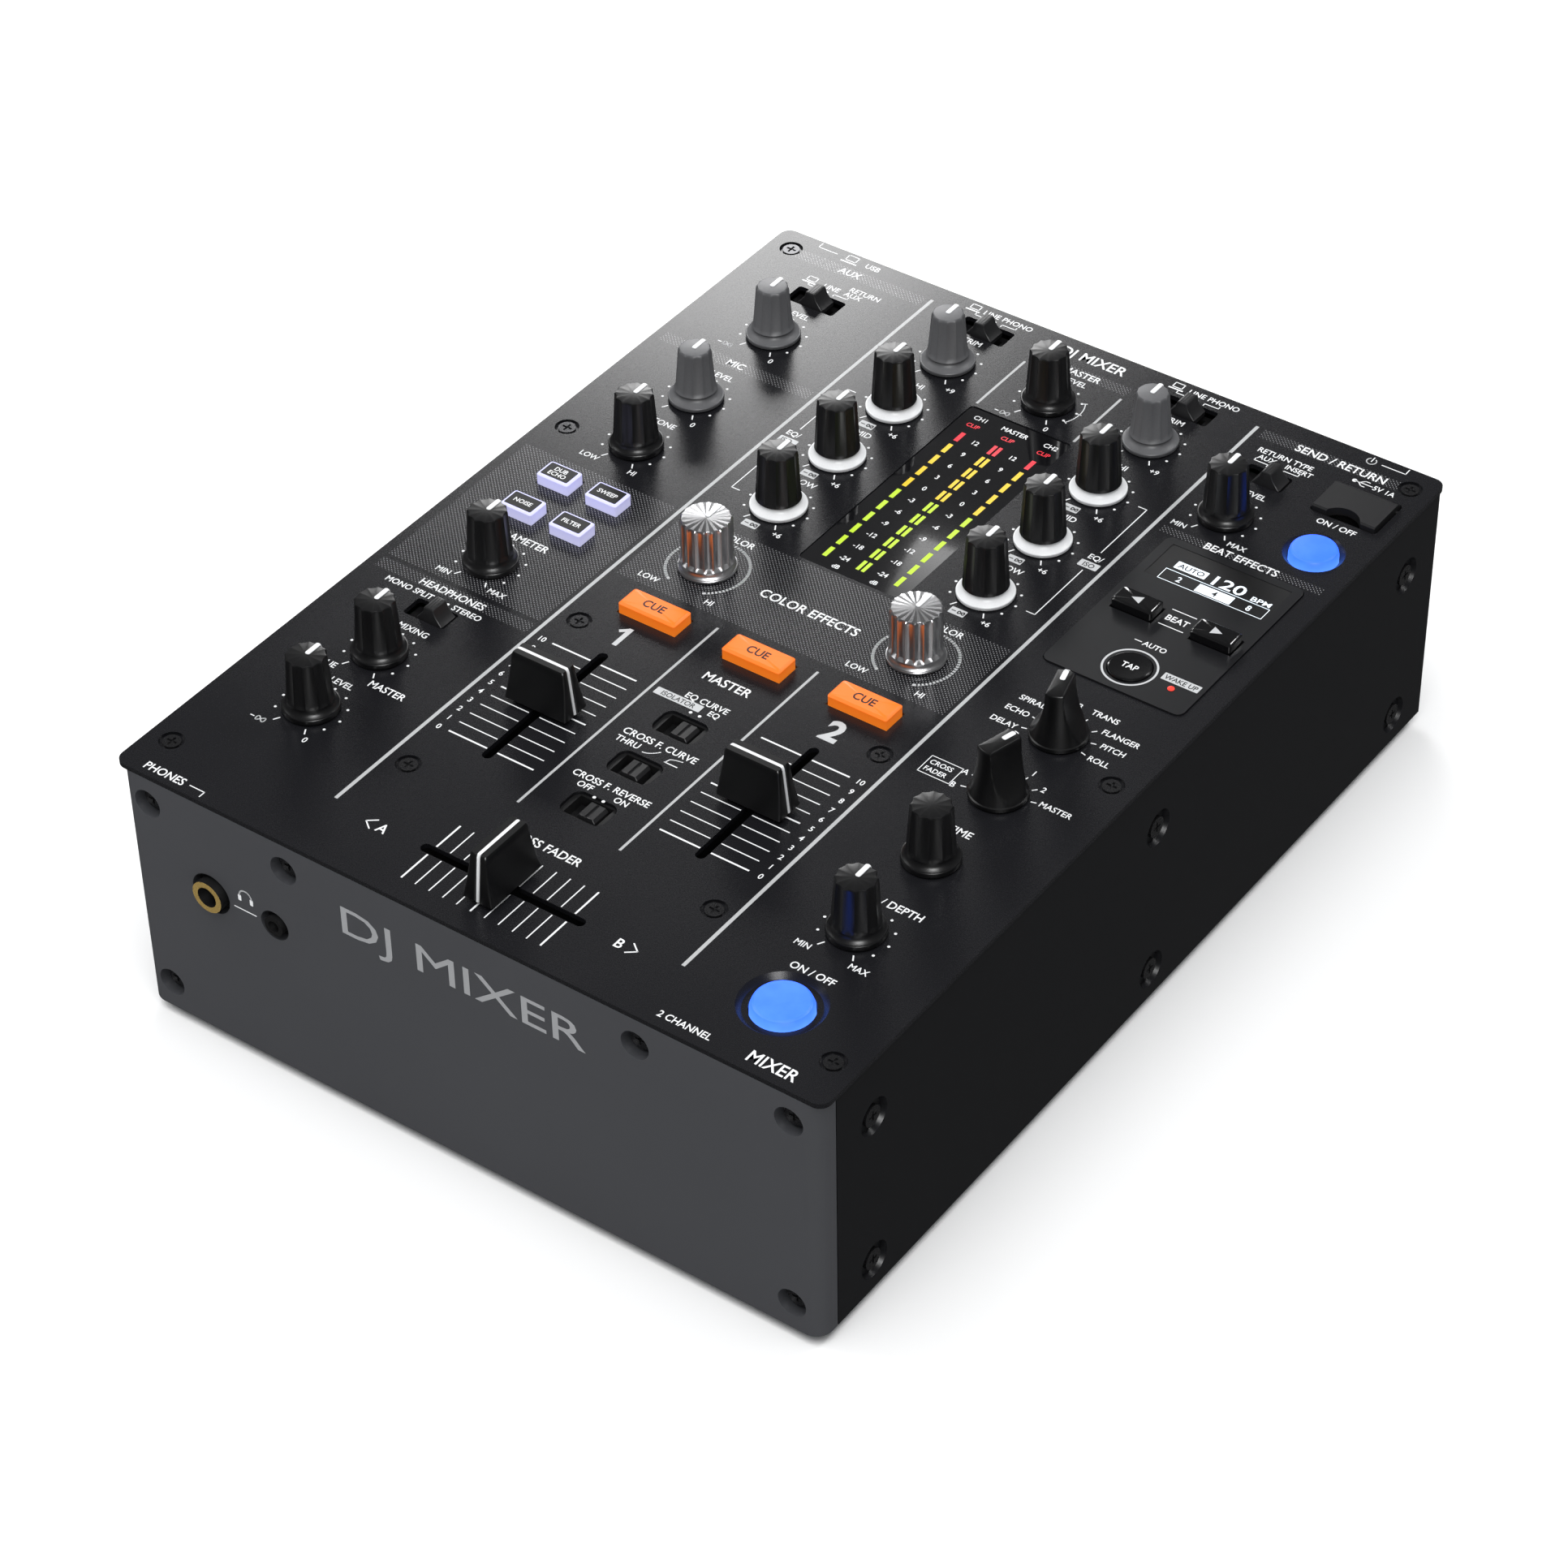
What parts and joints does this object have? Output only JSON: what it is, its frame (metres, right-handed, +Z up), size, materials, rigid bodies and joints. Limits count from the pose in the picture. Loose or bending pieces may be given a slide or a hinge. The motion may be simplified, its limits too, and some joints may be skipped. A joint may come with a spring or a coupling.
{
  "type": "dj mixer",
  "caption": "Two-channel tabletop DJ mixer with turning knobs, sliding faders, lit buttons, slide switches, a level meter and front and rear sockets.",
  "frame": {"origin": "on the ground, in the middle of the whole mixer's outline, rear sockets and front nozzle included", "axes": "+X to the user's right, +Y to the rear, +Z up"},
  "size_m": [0.231, 0.3202, 0.1079],
  "materials": {
    "black_paint": "fine satin powder coat",
    "front_plastic": "satin",
    "chassis_steel": "satin black coat",
    "black_gloss": "polished black",
    "grey_plastic": "satin grey",
    "spun_aluminium": "spun and polished",
    "pad_white": "translucent, lit",
    "cue_orange": "translucent, lit",
    "lamp_blue": "translucent, lit",
    "smoke_acrylic": "polished smoke",
    "insert_plastic": "satin",
    "board_green": "solder mask",
    "component_black": "moulded",
    "socket_metal": "plated",
    "black_screw": "black zinc",
    "rubber": "matt"
  },
  "bodies": {
    "case": {"top_plate": "black_paint", "front_panel": "front_plastic", "side_panels": "black_paint", "base_chassis": "chassis_steel", "meter_window": "smoke_acrylic", "effect_panel": "insert_plastic", "circuit_boards": "board_green", "control_bodies": "component_black", "panel_sockets": "socket_metal", "rear_jacks": "component_black", "usb_b_socket": "socket_metal", "screws": "black_screw", "rubber_feet": "rubber"},
    "aux_level_knob": {"aux_level_knob": "grey_plastic"},
    "mic_level_knob": {"mic_level_knob": "grey_plastic"},
    "trim_knob_1": {"trim_knob_1": "grey_plastic"},
    "trim_knob_2": {"trim_knob_2": "grey_plastic"},
    "mic_tone_knob": {"mic_tone_knob": "black_gloss"},
    "effect_parameter_knob": {"effect_parameter_knob": "black_gloss"},
    "headphone_mix_knob": {"headphone_mix_knob": "black_gloss"},
    "headphone_level_knob": {"headphone_level_knob": "black_gloss"},
    "master_level_knob": {"master_level_knob": "black_gloss"},
    "send_level_knob": {"send_level_knob": "black_gloss"},
    "effect_time_knob": {"effect_time_knob": "black_gloss"},
    "effect_depth_knob": {"effect_depth_knob": "black_gloss"},
    "eq_hi_knob_1": {"eq_hi_knob_1": "black_gloss"},
    "eq_mid_knob_1": {"eq_mid_knob_1": "black_gloss"},
    "eq_low_knob_1": {"eq_low_knob_1": "black_gloss"},
    "eq_hi_knob_2": {"eq_hi_knob_2": "black_gloss"},
    "eq_mid_knob_2": {"eq_mid_knob_2": "black_gloss"},
    "eq_low_knob_2": {"eq_low_knob_2": "black_gloss"},
    "color_knob_1": {"color_knob_1": "spun_aluminium"},
    "color_knob_2": {"color_knob_2": "spun_aluminium"},
    "effect_selector": {"effect_selector": "black_gloss"},
    "channel_selector": {"channel_selector": "black_gloss"},
    "channel_fader_1": {"channel_fader_1": "black_gloss"},
    "channel_fader_2": {"channel_fader_2": "black_gloss"},
    "crossfader": {"crossfader": "black_gloss"},
    "effect_pad_1": {"effect_pad_1": "pad_white"},
    "effect_pad_2": {"effect_pad_2": "pad_white"},
    "effect_pad_3": {"effect_pad_3": "pad_white"},
    "effect_pad_4": {"effect_pad_4": "pad_white"},
    "cue_button_1": {"cue_button_1": "cue_orange"},
    "cue_button_master": {"cue_button_master": "cue_orange"},
    "cue_button_2": {"cue_button_2": "cue_orange"},
    "beat_button_left": {"beat_button_left": "black_gloss"},
    "beat_button_right": {"beat_button_right": "black_gloss"},
    "tap_button": {"tap_button": "black_gloss"},
    "effect_on_button": {"effect_on_button": "lamp_blue"},
    "send_on_button": {"send_on_button": "lamp_blue"},
    "aux_source_switch": {"aux_source_switch": "black_gloss"},
    "input_switch_1": {"input_switch_1": "black_gloss"},
    "input_switch_2": {"input_switch_2": "black_gloss"},
    "mono_split_switch": {"mono_split_switch": "black_gloss"},
    "return_type_switch": {"return_type_switch": "black_gloss"},
    "eq_curve_switch": {"eq_curve_switch": "black_gloss"},
    "crossfader_curve_switch": {"crossfader_curve_switch": "black_gloss"},
    "crossfader_reverse_switch": {"crossfader_reverse_switch": "black_gloss"},
    "usb_flap": {"usb_flap": "black_gloss"},
    "power_rocker": {"power_rocker": "black_gloss"}
  },
  "joints": [
    {"name": "aux_level_knob_turn", "type": "hinge", "parent": "case", "child": "aux_level_knob", "pos_m": [-0.0853, 0.10015, 0.088], "axis": [0, 0, -1], "range_deg": [-150, 150]},
    {"name": "mic_level_knob_turn", "type": "hinge", "parent": "case", "child": "mic_level_knob", "pos_m": [-0.0854, 0.06165, 0.088], "axis": [0, 0, -1], "range_deg": [-150, 150]},
    {"name": "trim_knob_1_turn", "type": "hinge", "parent": "case", "child": "trim_knob_1", "pos_m": [-0.0347, 0.11795, 0.088], "axis": [0, 0, -1], "range_deg": [-150, 150]},
    {"name": "trim_knob_2_turn", "type": "hinge", "parent": "case", "child": "trim_knob_2", "pos_m": [0.03575, 0.11795, 0.088], "axis": [0, 0, -1], "range_deg": [-150, 150]},
    {"name": "mic_tone_knob_turn", "type": "hinge", "parent": "case", "child": "mic_tone_knob", "pos_m": [-0.0855, 0.03275, 0.088], "axis": [0, 0, -1], "range_deg": [-150, 150]},
    {"name": "effect_parameter_knob_turn", "type": "hinge", "parent": "case", "child": "effect_parameter_knob", "pos_m": [-0.0857, -0.03455, 0.088], "axis": [0, 0, -1], "range_deg": [-150, 150]},
    {"name": "headphone_mix_knob_turn", "type": "hinge", "parent": "case", "child": "headphone_mix_knob", "pos_m": [-0.0858, -0.08315, 0.088], "axis": [0, 0, -1], "range_deg": [-150, 150]},
    {"name": "headphone_level_knob_turn", "type": "hinge", "parent": "case", "child": "headphone_level_knob", "pos_m": [-0.0858, -0.11195, 0.088], "axis": [0, 0, -1], "range_deg": [-150, 150]},
    {"name": "master_level_knob_turn", "type": "hinge", "parent": "case", "child": "master_level_knob", "pos_m": [0.00065, 0.11785, 0.088], "axis": [0, 0, -1], "range_deg": [-150, 150]},
    {"name": "send_level_knob_turn", "type": "hinge", "parent": "case", "child": "send_level_knob", "pos_m": [0.0719, 0.10005, 0.088], "axis": [0, 0, -1], "range_deg": [-150, 150]},
    {"name": "effect_time_knob_turn", "type": "hinge", "parent": "case", "child": "effect_time_knob", "pos_m": [0.0857, -0.06785, 0.088], "axis": [0, 0, -1], "continuous": true},
    {"name": "effect_depth_knob_turn", "type": "hinge", "parent": "case", "child": "effect_depth_knob", "pos_m": [0.0857, -0.10145, 0.088], "axis": [0, 0, -1], "range_deg": [-150, 150]},
    {"name": "eq_hi_knob_1_turn", "type": "hinge", "parent": "case", "child": "eq_hi_knob_1", "pos_m": [-0.0347, 0.09005, 0.088], "axis": [0, 0, -1], "range_deg": [-150, 150]},
    {"name": "eq_mid_knob_1_turn", "type": "hinge", "parent": "case", "child": "eq_mid_knob_1", "pos_m": [-0.0347, 0.0613, 0.088], "axis": [0, 0, -1], "range_deg": [-150, 150]},
    {"name": "eq_low_knob_1_turn", "type": "hinge", "parent": "case", "child": "eq_low_knob_1", "pos_m": [-0.0347, 0.03245, 0.088], "axis": [0, 0, -1], "range_deg": [-150, 150]},
    {"name": "eq_hi_knob_2_turn", "type": "hinge", "parent": "case", "child": "eq_hi_knob_2", "pos_m": [0.03575, 0.09005, 0.088], "axis": [0, 0, -1], "range_deg": [-150, 150]},
    {"name": "eq_mid_knob_2_turn", "type": "hinge", "parent": "case", "child": "eq_mid_knob_2", "pos_m": [0.03575, 0.0613, 0.088], "axis": [0, 0, -1], "range_deg": [-150, 150]},
    {"name": "eq_low_knob_2_turn", "type": "hinge", "parent": "case", "child": "eq_low_knob_2", "pos_m": [0.03575, 0.03245, 0.088], "axis": [0, 0, -1], "range_deg": [-150, 150]},
    {"name": "color_knob_1_turn", "type": "hinge", "parent": "case", "child": "color_knob_1", "pos_m": [-0.0347, -0.00155, 0.088], "axis": [0, 0, -1], "range_deg": [-150, 150]},
    {"name": "color_knob_2_turn", "type": "hinge", "parent": "case", "child": "color_knob_2", "pos_m": [0.03575, -0.00155, 0.088], "axis": [0, 0, -1], "range_deg": [-150, 150]},
    {"name": "effect_selector_turn", "type": "hinge", "parent": "case", "child": "effect_selector", "pos_m": [0.0857, -0.0075, 0.088], "axis": [0, 0, -1], "range_deg": [-90, 120]},
    {"name": "channel_selector_turn", "type": "hinge", "parent": "case", "child": "channel_selector", "pos_m": [0.0857, -0.03655, 0.088], "axis": [0, 0, -1], "range_deg": [-120, 60]},
    {"name": "channel_fader_1_slide", "type": "slide", "parent": "case", "child": "channel_fader_1", "axis": [0, 1, 0], "range_m": [-0.0225, 0.0225]},
    {"name": "channel_fader_2_slide", "type": "slide", "parent": "case", "child": "channel_fader_2", "axis": [0, 1, 0], "range_m": [-0.0225, 0.0225]},
    {"name": "crossfader_slide", "type": "slide", "parent": "case", "child": "crossfader", "axis": [1, 0, 0], "range_m": [-0.0225, 0.0225]},
    {"name": "effect_pad_1_press", "type": "slide", "parent": "case", "child": "effect_pad_1", "axis": [0, 0, -1], "range_m": [0, 0.0008], "stiffness_N_per_m": 400, "springref_m": -0.0008},
    {"name": "effect_pad_2_press", "type": "slide", "parent": "case", "child": "effect_pad_2", "axis": [0, 0, -1], "range_m": [0, 0.0008], "stiffness_N_per_m": 400, "springref_m": -0.0008},
    {"name": "effect_pad_3_press", "type": "slide", "parent": "case", "child": "effect_pad_3", "axis": [0, 0, -1], "range_m": [0, 0.0008], "stiffness_N_per_m": 400, "springref_m": -0.0008},
    {"name": "effect_pad_4_press", "type": "slide", "parent": "case", "child": "effect_pad_4", "axis": [0, 0, -1], "range_m": [0, 0.0008], "stiffness_N_per_m": 400, "springref_m": -0.0008},
    {"name": "cue_button_1_press", "type": "slide", "parent": "case", "child": "cue_button_1", "axis": [0, 0, -1], "range_m": [0, 0.0008], "stiffness_N_per_m": 400, "springref_m": -0.0008},
    {"name": "cue_button_master_press", "type": "slide", "parent": "case", "child": "cue_button_master", "axis": [0, 0, -1], "range_m": [0, 0.0008], "stiffness_N_per_m": 400, "springref_m": -0.0008},
    {"name": "cue_button_2_press", "type": "slide", "parent": "case", "child": "cue_button_2", "axis": [0, 0, -1], "range_m": [0, 0.0008], "stiffness_N_per_m": 400, "springref_m": -0.0008},
    {"name": "beat_button_left_press", "type": "slide", "parent": "case", "child": "beat_button_left", "axis": [0, 0, -1], "range_m": [0, 0.0008], "stiffness_N_per_m": 400, "springref_m": -0.0008},
    {"name": "beat_button_right_press", "type": "slide", "parent": "case", "child": "beat_button_right", "axis": [0, 0, -1], "range_m": [0, 0.0008], "stiffness_N_per_m": 400, "springref_m": -0.0008},
    {"name": "tap_button_press", "type": "slide", "parent": "case", "child": "tap_button", "axis": [0, 0, -1], "range_m": [0, 0.0008], "stiffness_N_per_m": 400, "springref_m": -0.0008},
    {"name": "effect_on_button_press", "type": "slide", "parent": "case", "child": "effect_on_button", "axis": [0, 0, -1], "range_m": [0, 0.0008], "stiffness_N_per_m": 400, "springref_m": -0.0008},
    {"name": "send_on_button_press", "type": "slide", "parent": "case", "child": "send_on_button", "axis": [0, 0, -1], "range_m": [0, 0.0008], "stiffness_N_per_m": 400, "springref_m": -0.0008},
    {"name": "aux_source_switch_slide", "type": "slide", "parent": "case", "child": "aux_source_switch", "axis": [1, 0, 0], "range_m": [-0.0032, 0.0032]},
    {"name": "input_switch_1_slide", "type": "slide", "parent": "case", "child": "input_switch_1", "axis": [1, 0, 0], "range_m": [-0.0032, 0.0032]},
    {"name": "input_switch_2_slide", "type": "slide", "parent": "case", "child": "input_switch_2", "axis": [1, 0, 0], "range_m": [-0.0032, 0.0032]},
    {"name": "mono_split_switch_slide", "type": "slide", "parent": "case", "child": "mono_split_switch", "axis": [1, 0, 0], "range_m": [-0.0036, 0]},
    {"name": "return_type_switch_slide", "type": "slide", "parent": "case", "child": "return_type_switch", "axis": [1, 0, 0], "range_m": [-0.0036, 0]},
    {"name": "eq_curve_switch_slide", "type": "slide", "parent": "case", "child": "eq_curve_switch", "axis": [1, 0, 0], "range_m": [-0.0026, 0]},
    {"name": "crossfader_curve_switch_slide", "type": "slide", "parent": "case", "child": "crossfader_curve_switch", "axis": [1, 0, 0], "range_m": [-0.0013, 0.0013]},
    {"name": "crossfader_reverse_switch_slide", "type": "slide", "parent": "case", "child": "crossfader_reverse_switch", "axis": [1, 0, 0], "range_m": [-0.0026, 0]},
    {"name": "usb_flap_hinge", "type": "hinge", "parent": "case", "child": "usb_flap", "pos_m": [0.1, 0.1299, 0.08725], "axis": [-1, 0, 0], "range_deg": [0, 95]},
    {"name": "power_rocker_rock", "type": "hinge", "parent": "case", "child": "power_rocker", "pos_m": [0.101, 0.14655, 0.057], "axis": [-1, 0, 0], "range_deg": [0, 16]}
  ]
}
